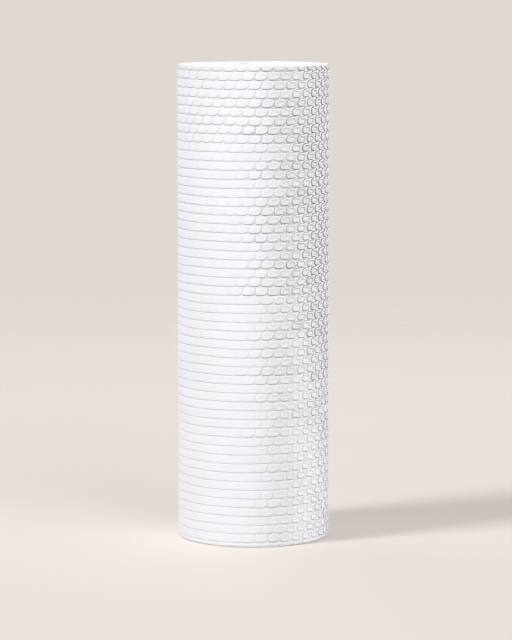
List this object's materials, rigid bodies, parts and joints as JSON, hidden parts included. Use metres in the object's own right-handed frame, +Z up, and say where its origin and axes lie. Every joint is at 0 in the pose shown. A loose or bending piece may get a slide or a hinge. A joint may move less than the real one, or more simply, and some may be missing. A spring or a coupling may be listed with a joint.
{
  "type": "paper towel roll",
  "caption": "Slim kitchen paper towel roll, an embossed white sheet wound on an open card core, standing on its end.",
  "frame": {"origin": "centre of the lower end, on the roll's axis and on the surface it stands on", "axes": "+Z up along the roll's axis, -Y towards the side the picture shows, +X to its right"},
  "size_m": [0.0895, 0.0891, 0.2794],
  "materials": {
    "paper": "matte embossed",
    "core_card": "matte"
  },
  "bodies": {
    "root": {"paper_roll": "paper", "core_tube": "core_card"}
  },
  "joints": []
}
